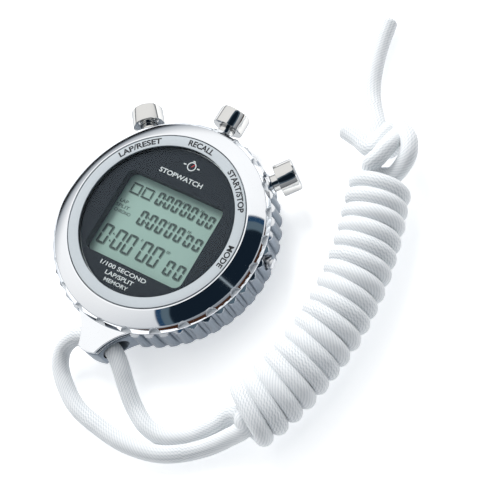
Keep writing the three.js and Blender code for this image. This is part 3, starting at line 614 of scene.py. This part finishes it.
cap_plate = polished("polished nickel plate", (0.66, 0.655, 0.64), 0.03)
brass = brushed("turned brass", (0.73, 0.58, 0.30), 0.22, (1, 1, 6))
steel = brushed("turned steel", (0.68, 0.69, 0.71), 0.20, (1, 1, 6))
spring_steel = brushed("drawn spring wire", (0.50, 0.51, 0.54), 0.25, (1, 5, 1))
for name, direction in buttons.items():
    body, small = f"{name}_button", name == "mode"
    stem, rod = (0.00145, 0.0007) if small else (0.0023, 0.0011)
    bush_start, bush_end = (0.0259, 0.0306) if small else (0.0254, 0.0318)
    wall, room = (0.0006, 0.0021) if small else (0.0008, 0.0032)
    bush_radius = stem + (0.0006 if small else 0.0007)
    shoulder = bush_start + wall + room
    seal_foot = shoulder + (0.0005 if small else 0.0006)
    seal_top = seal_foot + (0.00045 if small else 0.00065)
    rod_tip = CONTACT_FACE + PRESSES[name]
    groove = stem - (0.00045 if small else 0.00065)
    end = 0.0330 if small else CAP_FACE + 0.0029
    outline = [(0, rod_tip), (rod, rod_tip), (rod, bush_start - 0.0007),
               (rod - 0.00025, bush_start - 0.0007), (rod - 0.00025, bush_start),
               (rod, bush_start), (rod, shoulder), (stem, shoulder), (stem, seal_foot),
               (groove, seal_foot), (groove, seal_top), (stem, seal_top)]
    if small:
        outline += [(stem, end - 0.00125), (stem - 0.00025, end - 0.00125),
                    (stem - 0.00025, end - 0.0009), (stem, end - 0.0009)]
    outline += [(stem, end, 0.0003), (0, end)]
    if small:
        fitted(turned("mode_push_pin", outline, 64, 0.00004, direction, button_height), steel,
               ["mode_pin"], body)
    else:
        fitted(turned(f"{name}_bright_stem", outline, 64, 0.00005, direction, button_height),
               cap_plate, [f"{name}_stem"], body)
        cap = turned(f"{name}_bright_cap", [
            (0.0024, CAP_FACE), (CAP_RADIUS, CAP_FACE, 0.0002), (CAP_RADIUS, CAP_END, 0.0009),
            (0, CAP_END), (0, CAP_FACE + 0.003), (0.0024, CAP_FACE + 0.003),
        ], 96, 0.0001, direction, button_height)
        fitted(cap, cap_plate, [f"{name}_cap"], body)
    bush = turned(f"{name}_turned_bush", [
        (rod + 0.0002, bush_start), (bush_radius, bush_start), (bush_radius, bush_end, 0.0002),
        (stem + 0.0001, bush_end), (stem + 0.0001, bush_start + wall),
        (rod + 0.0002, bush_start + wall),
    ], 72, 0.00006, direction, button_height)
    fitted(bush, bright_plate if not small else steel, [f"{name}_bush"])
    wire = 0.0001 if small else 0.00016
    spring = coil(f"{name}_return_spring", bush_start + wall, shoulder,
                  (rod + stem + 0.0001) / 2, wire, 4, direction)
    fitted(spring, spring_steel, [f"{name}_spring"])
    foot = direction * (bush_start + wall) + Vector((0, 0, button_height))
    tuple(direction)
    1 - PRESSES[name] / room
    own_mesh(spring)

# ---- Label ring
# A flat ring of satin silver foil on a stiff base, with the buttons' names printed in black.
INK = 0.00002
LABEL_MIDDLE = 0.02355
LABEL_HEIGHT = 0.0017
LABELS = {"LAP/RESET": (-43.5, 0.0126), "RECALL": (1.5, 0.0082), "START/STOP": (45.5, 0.0132),
          "MODE": (93, 0.0066)}


def printed(name, marks, finish, body="watch"):
    """Raised ink from several marks, each a pair of points and faces."""
    points, faces = [], []
    for mark_points, mark_faces in marks:
        faces += [[i + len(points) for i in face] for face in mark_faces]
        points += mark_points
    return fitted(solid(name, points, faces), finish, body=body)


def lettering(words, width, height, where, weight=0.014):
    """A line of letters of that width and height; where gives each point's place."""
    line = bpy.data.curves.new("words", "FONT")
    line.body, line.align_x, line.resolution_u = words, "CENTER", 5
    line.extrude, line.offset = 0.5, weight
    holder = bpy.data.objects.new("words", line)
    scene.collection.objects.link(holder)
    bpy.context.view_layer.update()
    mesh = bpy.data.meshes.new_from_object(
        holder.evaluated_get(bpy.context.evaluated_depsgraph_get()))
    points = np.array([v.co[:] for v in mesh.vertices])
    low, high = points.min(axis=0), points.max(axis=0)
    points = (points - (low + high) / 2) / (high - low) * (width, height, INK)
    bpy.data.objects.remove(holder)
    return [where(*p) for p in points.tolist()], [list(f.vertices) for f in mesh.polygons]


def on_ring(clock, radius, height):
    def where(x, y, z):
        turn = math.radians(clock) + x / radius
        return (radius + y) * math.sin(turn), (radius + y) * math.cos(turn), height + z
    return where


def flat(x0, y0, height):
    return lambda x, y, z: (x0 + x, y0 + y, height + z)


def ink(name, colour, rough=0.55):
    paint = Paint(name)
    speckle = paint.noise(3000, 2)
    paint.feed({"Base Color": paint.mottled(speckle, colour, 0.82),
                "Roughness": rough + speckle * 0.1})
    return paint.material


silver = Paint("satin silver foil", metallic=0.35)
foil, drift = silver.noise(1500, 3), silver.noise(60, 2)
silver.feed({"Base Color": silver.between(foil * 0.5 + drift * 0.5, (0.46, 0.51, 0.54, 1),
                                          (0.57, 0.61, 0.64, 1)),
             "Roughness": 0.36 + foil * 0.12})
label_ring = turned("label_foil_ring", [
    (0.0220, face_top), (0.0249, face_top, 0.00010), (0.02495, face_top - 0.0008),
    (0.0251, face_top - 0.0008),
    (0.0251, seat + 0.0001), (0.0236, seat + 0.0001), (0.0236, face_top - 0.0005),
    (0.0220, face_top - 0.0005)], 240, 0.00004)
fitted(label_ring, silver.material, ["label_ring"])
black_ink, white_ink = ink("black ink", (0.015, 0.016, 0.02)), ink("white ink", (0.86, 0.87, 0.88))
printed("button_names", [lettering(words, width, LABEL_HEIGHT,
                                   on_ring(clock, LABEL_MIDDLE, face_top + INK / 2),
                                   0.030)
                         for words, (clock, width) in LABELS.items()],
        black_ink)

# ---- Lens
# A clear pressed lens with a stepped rim under the label ring and a fine bevel at its edge.
lens_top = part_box("lens")[1][2]
lens_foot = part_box("lens")[0][2]
lens = turned("clear_lens", [
    (0, lens_foot), (0.0234, lens_foot), (0.0234, lens_foot + 0.0006),
    (0.0219, lens_foot + 0.0006), (0.0219, lens_top, 0.0003), (0, lens_top)], 240, 0.00008)
clear = Paint("clear lens")
see_through = clear.node("BsdfTransparent", inputs={"Color": (0.97, 0.985, 0.98, 1)})
clear.feed({"Base Color": (0.72, 0.86, 1.0, 1), "Metallic": 1.0,
            "Roughness": 0.02 + clear.noise(500, 2) * 0.02})
gloss = clear.node("Fresnel", inputs={"IOR": 1.45})
surface = clear.node("MixShader", inputs={0: gloss * 0.35, 1: see_through,
                                          2: Wire(clear, clear.shader.outputs[0])})
clear.join(surface, clear.tree.nodes["Material Output"].inputs["Surface"])
fitted(lens, clear.material, ["lens"])

# ---- Face
# A stamped black plate with a window whose walls run down to the display, printed in white.
WINDOW = (0.0317, 0.0249)
WINDOW_MIDDLE = -0.00185
WINDOW_CORNER = 0.0022
mask_foot, mask_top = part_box("dial_mask")[0][2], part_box("dial_mask")[1][2]
FACE_WORDS = {"STOPWATCH": (-0.0008, 0.0138, 0.0140, 0.0014),
              "1/100 SECOND": (-0.0010, -0.0160, 0.0150, 0.0012),
              "LAP/SPLIT": (-0.0010, -0.0180, 0.0092, 0.0012),
              "MEMORY": (-0.0010, -0.0199, 0.0078, 0.0011)}
BADGE = (0.0003, 0.0178)


def window_outline(grow=0.0, steps=8):
    half_w, half_h = WINDOW[0] / 2 - WINDOW_CORNER, WINDOW[1] / 2 - WINDOW_CORNER
    radius = WINDOW_CORNER + grow
    outline = []
    for quarter, (x, y) in enumerate([(1, 1), (-1, 1), (-1, -1), (1, -1)]):
        for k in range(steps + 1):
            turn = math.pi / 2 * (quarter + k / steps)
            outline.append((x * half_w + radius * math.cos(turn),
                            WINDOW_MIDDLE + y * half_h + radius * math.sin(turn)))
    return outline


def hoop(outer, inner, x, y, height, steps=40):
    """A flat printed ring."""
    points, faces = [], []
    for k in range(steps):
        turn = 2 * math.pi * k / steps
        for radius, z in ((outer, INK), (inner, INK), (inner, 0), (outer, 0)):
            points.append((x + radius * math.cos(turn), y + radius * math.sin(turn), height + z))
        ahead = (k + 1) % steps * 4
        faces += [[4 * k + i, ahead + i, ahead + (i + 1) % 4, 4 * k + (i + 1) % 4]
                  for i in range(4)]
    return points, faces


def patch(outline, height, thick=INK):
    """A flat printed patch of any outline."""
    count = len(outline)
    points = [(x, y, height + z) for z in (0, thick) for x, y in outline]
    faces = [list(range(count))[::-1], list(range(count, 2 * count))]
    faces += [[i, (i + 1) % count, (i + 1) % count + count, i + count] for i in range(count)]
    return points, faces


def stroke(start, end, width, height):
    """A straight printed line."""
    start, end = Vector(start), Vector(end)
    aside = (end - start).orthogonal().normalized() * width / 2
    return patch([start - aside, end - aside, end + aside, start + aside], height)


face_black = Paint("black painted face", specular_ior_level=0.15)
dust = face_black.noise(800, 2)
face_black.feed({"Base Color": face_black.between(dust, (0.0100, 0.0120, 0.0175, 1),
                                                  (0.0130, 0.0155, 0.0215, 1)),
                 "Roughness": 0.42 + dust * 0.15})
face_black.relief(dust, 0.000001, 0.1)
dial = turned("black_face_plate", [(0, mask_top - 0.0003), (0.0217, mask_top - 0.0003),
                                   (0.0217, mask_top), (0, mask_top)], 200, 0.00005)
dial = shaped(dial, plate("well", window_outline(0.0006), mask_foot, mask_top - 0.0001, 0),
              "UNION")
dial = shaped(dial, plate("window", window_outline(), mask_foot - 0.001, mask_top + 0.001, 0))
fitted(dial, face_black.material, ["dial_mask"])
x, y = BADGE
marks = [lettering(words, width, height, flat(left, up, mask_top + INK))
         for words, (left, up, width, height) in FACE_WORDS.items()]
marks += [hoop(0.00135, 0.00105, x, y, mask_top),
          stroke((x - 0.0004, y + 0.0016), (x + 0.0004, y + 0.0016), 0.0003, mask_top),
          stroke((x - 0.0026, y), (x - 0.0018, y), 0.00035, mask_top),
          stroke((x + 0.0018, y), (x + 0.0026, y), 0.00035, mask_top)]
printed("face_words", marks, white_ink)
printed("face_hand", [stroke((x, y - 0.0002), (x + 0.0006, y + 0.0008), 0.00028, mask_top + INK)],
        ink("red ink", (0.65, 0.02, 0.02)))

# ---- Display
# A reflective liquid crystal panel. In the real panel the dark segments float a little over the
# grey-green reflector and each throws a soft shadow beside itself; here that shadow is painted, as
# a paler copy of each segment printed a little aside on the reflector.
ROWS = [  # left edges of the digits, foot, height and width
    ([-0.00570, -0.00295, -0.00030, 0.00260, 0.00525], 0.0049, 0.0039, 0.0020),
    ([0.00845, 0.01115], 0.0047, 0.0036, 0.0020),
    ([-0.00735, -0.00425, -0.00130, 0.00190, 0.00490], -0.0022, 0.0044, 0.0021),
    ([0.00820, 0.01120], -0.0023, 0.0036, 0.0021),
    ([-0.01520, -0.01060, -0.00700, -0.00190, 0.00180], -0.0112, 0.0060, 0.0028),
    ([0.00730, 0.01075], -0.0115, 0.0043, 0.0023),
]
SLANT = 0.06
SEGMENT_WIDTH = 0.00060
PAINTED_SHADOW_SHIFT = (0.00030, -0.00022)
ROW_WORDS = {"LAP": (-0.0138, 0.0022), "SPLIT": (-0.0134, 0.0007), "CHRONO": (-0.0126, -0.0008)}
panel_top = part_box("lcd_panel")[1][2]


def nought(left, foot, height, width, shift=(0, 0)):
    """The six segments of a nought, mitred where they meet."""
    middle, half = height / 2, SEGMENT_WIDTH / 2
    upright = [(0, half), (half, 0), (half * 2, half * 2), (half * 2, middle - half * 1.6),
               (half, middle - half * 0.4), (0, middle - half)]
    lying = [(half * 1.3, 0), (width - half * 1.3, 0), (width - half * 2.4, half * 2),
             (half * 2.4, half * 2)]
    shapes = [upright, [(width - x, y) for x, y in upright][::-1], lying]
    shapes += [[(x, height - y) for x, y in shape][::-1] for shape in shapes]
    for shape in shapes:
        yield [(left + x + SLANT * y + shift[0], foot + y + shift[1]) for x, y in shape]


def small_marks(shift=(0, 0)):
    """The colons, the minute and second ticks, and the two boxes at the upper left."""
    for lefts, foot, height, width in ROWS[::2]:
        gap = (lefts[0] + width + lefts[1]) / 2 + SLANT * height / 2
        for level in (0.3, 0.66):
            x, y = gap + shift[0], foot + height * level + shift[1]
            yield [(x - 0.0002, y - 0.0002), (x + 0.0002, y - 0.0002), (x + 0.0002, y + 0.0002),
                   (x - 0.0002, y + 0.0002)]
        for start in [(lefts[2] + width + lefts[3]) / 2, lefts[4] + width + 0.0008,
                      lefts[4] + width + 0.0014]:
            x, y = start + shift[0] + SLANT * height, foot + height + shift[1]
            yield [(x - 0.0003, y - 0.0008), (x - 0.0001, y - 0.0008), (x + 0.0002, y),
                   (x - 0.00005, y)]
    for left in (-0.0142, -0.0103):
        for x0, y0, x1, y1 in ((0, 0, 0.0032, 0.00045), (0, 0.0028, 0.0032, 0.00325),
                               (0, 0.0006, 0.00045, 0.00265), (0.00275, 0.0006, 0.0032, 0.00265)):
            x0, x1, y0, y1 = (left + x0 + shift[0], left + x1 + shift[0],
                              0.0051 + y0 + shift[1], 0.0051 + y1 + shift[1])
            yield [(x0, y0), (x1, y0), (x1, y1), (x0, y1)]


def segments(shift, height):
    shapes = [shape for lefts, foot, tall, width in ROWS for left in lefts
              for shape in nought(left, foot, tall, width, shift)]
    return [patch(shape, height, INK / 2) for shape in shapes + list(small_marks(shift))]


reflector = Paint("grey green display", specular_ior_level=0.3)
grain, cloud = reflector.noise(2600, 2), reflector.noise(45, 2)
reflector.feed({"Base Color": reflector.between(grain * 0.3 + cloud * 0.7,
                                                (0.32, 0.45, 0.40, 1), (0.40, 0.54, 0.49, 1)),
                "Roughness": 0.30 + grain * 0.08})
frame["nodes"]["lcd_panel"].data.materials.clear()
frame["nodes"]["lcd_panel"].data.materials.append(reflector.material)
printed("display_segments", segments((0, 0), panel_top + INK)
        + [lettering(words, 0.0009 * len(words), 0.0010, flat(x, y, panel_top + INK))
           for words, (x, y) in ROW_WORDS.items()],
        ink("liquid crystal segments", (0.045, 0.065, 0.06), 0.5))
# painted shadow: a paler copy of every segment, shifted down and to the right, stands for the
# shadow the segments cast on the reflector
printed("display_painted_segment_shadows", segments(PAINTED_SHADOW_SHIFT, panel_top),
        ink("painted segment shadows", (0.17, 0.25, 0.215), 0.5))

# ---- Back
# A flat steel cover, ground in circles, is held over a rubber ring by four slotted screws.
SCREW_RING = 0.0252
COVER_TOP = 0.0015


def rubber(name):
    paint = Paint(name, specular_ior_level=0.3)
    bloom, skin = paint.noise(700, 3), paint.noise(4000, 2)
    paint.feed({"Base Color": paint.between(bloom, grey(0.012), grey(0.032)),
                "Roughness": 0.62 + bloom * 0.2})
    paint.relief(skin, 0.00001, 0.5)
    return paint.material


def ground(name, colour):
    """Steel ground in circles round the middle of the back."""
    paint = Paint(name, metallic=1.0)
    lines = paint.node("TexWave", {"wave_type": "RINGS", "rings_direction": "Z"},
                       {"Vector": paint.place(), "Scale": 900.0, "Distortion": 2.5,
                        "Detail": 3.0, "Detail Scale": 2.0}, "Fac")
    paint.feed({"Base Color": paint.mottled(lines, colour, 0.8),
                "Roughness": 0.22 + lines * 0.16})
    paint.relief(lines, 0.000008, 0.5)
    return paint.material


def slotted(name, head, tall, shank, end, x, y, foot, finish, node, body="watch"):
    """A cheese-head screw with its head down and a sawn slot."""
    piece = turned(name, [(0, 0), (head, 0, 0.0002), (head, tall), (shank, tall), (shank, end),
                          (0, end)], 40, 0.00005)
    saw = plate("saw", [(-0.003, -0.0002), (0.003, -0.0002), (0.003, 0.0002), (-0.003, 0.0002)],
                -0.001, 0.00035, 0)
    piece = shaped(piece, saw)
    piece.data.transform(Matrix.Translation((x, y, foot)))
    return fitted(piece, finish, [node], body)


cover = turned("ground_back_cover", [(0, 0), (0.0235, 0), (0.0237, 0.00012), (0.0239, 0),
                                     (0.0270, 0, 0.0005), (0.0270, COVER_TOP), (0, COVER_TOP)],
               200, 0.00006)
places = {f"back_screw_{k + 1}": math.radians(45 + 90 * k) for k in range(4)}
sinks = []
for turn in places.values():
    sink = turned("sink", [(0, -0.001), (0.0016, -0.001), (0.0016, 0.0008), (0.0009, 0.0008),
                           (0.0009, 0.0025), (0, 0.0025)], 40, 0)
    sinks.append(round_the_case(sink, SCREW_RING, turn))
cover = shaped(cover, joined(sinks))
fitted(cover, ground("circle ground steel", (0.62, 0.63, 0.65)), ["back_cover"])
for name, turn in places.items():
    slotted(f"{name}_slotted", 0.0015, 0.0007, 0.0008, 0.0047, SCREW_RING * math.sin(turn),
            SCREW_RING * math.cos(turn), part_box(name)[0][2], steel, name)

# ---- Works
# What the case holds: rubber seals, the moulded frame and its conducting strips, the circuit
# board with its chip and crystal, the cell in its clip, and the brass sounder on the cover.


def plastic(name, low, high, rough, depth=0.00001):
    paint = Paint(name)
    cloud, skin = paint.noise(300, 3), paint.noise(3500, 2)
    paint.feed({"Base Color": paint.between(cloud, (*low, 1), (*high, 1)),
                "Roughness": rough + skin * 0.12})
    paint.relief(skin, depth, 0.5)
    return paint.material


def layered(name):
    """Rubber strip of fine black conducting and pale insulating layers."""
    paint = Paint(name, roughness=0.7)
    bands = paint.node("TexWave", {"bands_direction": "X"},
                       {"Vector": paint.place(), "Scale": 800.0, "Distortion": 0.4})
    paint.feed({"Base Color": paint.between(bands, grey(0.03), (0.55, 0.50, 0.46, 1))})
    return paint.material


def board(name):
    """Green lacquer over copper tracks, which show as paler raised lines."""
    paint = Paint(name, roughness=0.35)
    tracks = paint.node("TexBrick", {"offset": 0.35},
                        {"Vector": paint.place(), "Scale": 420.0, "Mortar Size": 0.03}, "Fac")
    paint.feed({"Base Color": paint.between(tracks, (0.012, 0.10, 0.045, 1),
                                            (0.05, 0.24, 0.10, 1))})
    paint.relief(tracks, 0.00002, 0.6)
    return paint.material


black_rubber = rubber("moulded seal rubber")
works = {
    "back_gasket": black_rubber, "lens_gasket": black_rubber,
    "module_frame": plastic("white moulded frame", (0.60, 0.59, 0.55), (0.72, 0.71, 0.67), 0.4),
    "zebra_strip_1": layered("conducting strip one"),
    "zebra_strip_2": layered("conducting strip two"),
    "circuit_board": board("green circuit board"),
    "controller_chip": plastic("black potting", (0.008, 0.008, 0.010), (0.02, 0.02, 0.024), 0.22),
    "quartz_crystal": steel, "battery_cell": steel, "battery_clip": spring_steel,
    "buzzer_disc": brass,
}
for name in buttons:
    works |= {f"{name}_seal": black_rubber, f"{name}_clip": spring_steel,
              f"{name}_contact": brass}
for k in (1, 2, 3):
    works[f"board_screw_{k}"] = steel
for name, finish in works.items():
    frame["nodes"][name].data.materials.clear()
    frame["nodes"][name].data.materials.append(finish)

# ---- Table and light
# A lit white table under a wide white tent. The tent is open, and so dark blue, in a band on
# the far right of the camera, and dark along its foot, which gives the polished metal its dark
# patches and lines.
bpy.ops.mesh.primitive_plane_add(size=6, location=(0, 0, -0.0003))
table = bpy.context.object
table.name = "table"
white_table = Paint("lit white table", roughness=0.9, specular_ior_level=0.0,
                    emission_strength=0.50)
white_table.feed({"Base Color": white_table.between(white_table.noise(3), grey(0.86), grey(0.90)),
                  "Emission Color": (0.97, 0.985, 1.0, 1)})
table.data.materials.append(white_table.material)

TENT_BRIGHT = Vector((-0.62, 0.55, 0.56)).normalized()
OPENINGS = [Vector(v).normalized()
            for v in ((0.50, 0.23, 0.84), (0.44, -0.08, 0.895), (0.345, -0.335, 0.877))]
TABLE_SIDE = Vector((0.87, -0.48, 0.0)).normalized()  # where the tent's foot is open too
SEAM = Vector((-0.20, -0.98, 0.02)).normalized()  # across the pole between the openings
tent = bpy.data.worlds.new("tent")
scene.world = tent
tent.use_nodes = True
sky = Nodes(tent.node_tree)
toward = sky.node("TexCoord", out="Generated")


def facing(direction):
    return sky.node("VectorMath", {"operation": "DOT_PRODUCT"}, {0: toward, 1: direction}, "Value")


def faded(value, start, end, low, high):
    return sky.node("MapRange", {"interpolation_type": "SMOOTHSTEP"},
                    {"Value": value, "From Min": start, "From Max": end, "To Min": low,
                     "To Max": high})


def inside(start, end):
    """How far a direction is inside the openings, taken together."""
    shares = [faded(facing(opening), start, end, 0.0, 1.0) for opening in OPENINGS]
    first = sky.node("Math", {"operation": "MAXIMUM"}, {0: shares[0], 1: shares[1]})
    return sky.node("Math", {"operation": "MAXIMUM"}, {0: first, 1: shares[2]})


height = facing(Vector((0, 0, 1)))
table_edge = faded(height, 0.03, 0.11, 0.03, 1.0) * faded(height, 0.05, 0.28, 0.48, 1.0)
glow = faded(facing(TENT_BRIGHT), -0.75, 0.85, 0.33, 1.14) * table_edge
room = sky.between(inside(0.924, 0.932), (0.018, 0.055, 0.115, 1), (0.10, 0.145, 0.18, 1))
room = sky.between(inside(0.950, 0.958), room, (0.007, 0.014, 0.024, 1))
foot_open = faded(height, 0.10, 0.17, 1.0, 0.0) * faded(facing(TABLE_SIDE), 0.05, 0.35, 0.0, 1.0)
open_share = sky.node("Math", {"operation": "MAXIMUM"}, {0: inside(0.900, 0.910), 1: foot_open})
room = sky.between(foot_open, room, (0.055, 0.022, 0.012, 1))
pole = faded(sky.node("Math", {"operation": "ABSOLUTE"}, {0: facing(SEAM) + 0.035}),
             0.004, 0.016, 1.0, 0.0)
room = sky.between(pole, room, (0.30, 0.36, 0.40, 1))
cloth = sky.between(glow, (0.80, 0.89, 1.0, 1), (1.0, 1.0, 1.0, 1))
sky.join(sky.between(open_share, cloth, room), tent.node_tree.nodes["Background"].inputs["Color"])
sky.join(glow + (1 - glow) * open_share, tent.node_tree.nodes["Background"].inputs["Strength"])
scene.view_settings.view_transform = "Standard"

lamp = bpy.data.objects.new("window", bpy.data.lights.new("window", "AREA"))
scene.collection.objects.link(lamp)
lamp.data.shape = "DISK"
lamp.data.size = 0.5
lamp.data.energy = 6.8
lamp.visible_glossy = False
lamp.location = (-0.50, 0.42, 0.62)
lamp.rotation_euler = (-lamp.location).to_track_quat("-Z", "Y").to_euler()
